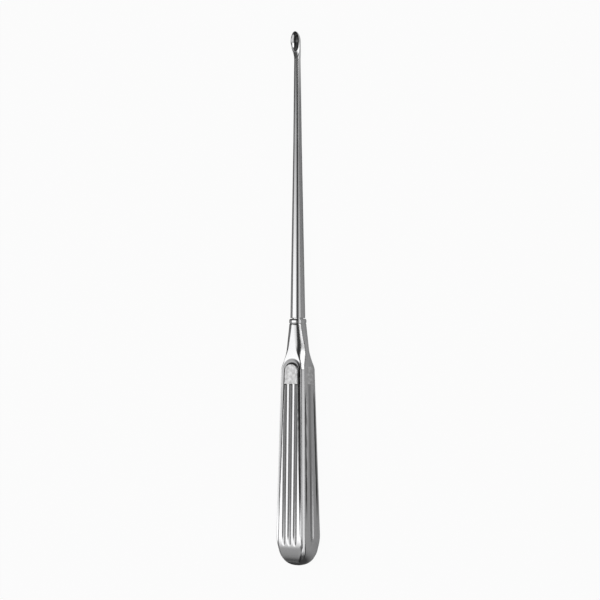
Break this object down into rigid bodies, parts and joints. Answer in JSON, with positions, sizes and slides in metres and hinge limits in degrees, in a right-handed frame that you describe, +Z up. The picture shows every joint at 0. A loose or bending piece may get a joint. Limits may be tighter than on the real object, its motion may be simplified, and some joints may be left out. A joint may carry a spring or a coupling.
{
  "type": "bone curette",
  "caption": "Bone curette with a sharp-rimmed oval cup on a tapered round shaft, set in a fluted metal grip handle.",
  "frame": {"origin": "middle of the instrument's length and width, at the level of the surface it lies on", "axes": "+X along the instrument towards the cup, +Z up out of the cup's opening and the grip's front pad"},
  "size_m": [0.23, 0.0162, 0.0122],
  "materials": {
    "handle_steel": "bright, with finely matted pads",
    "forged_steel": "polished"
  },
  "bodies": {
    "root": {"handle": "handle_steel", "shaft_and_cup": "forged_steel"}
  },
  "joints": []
}
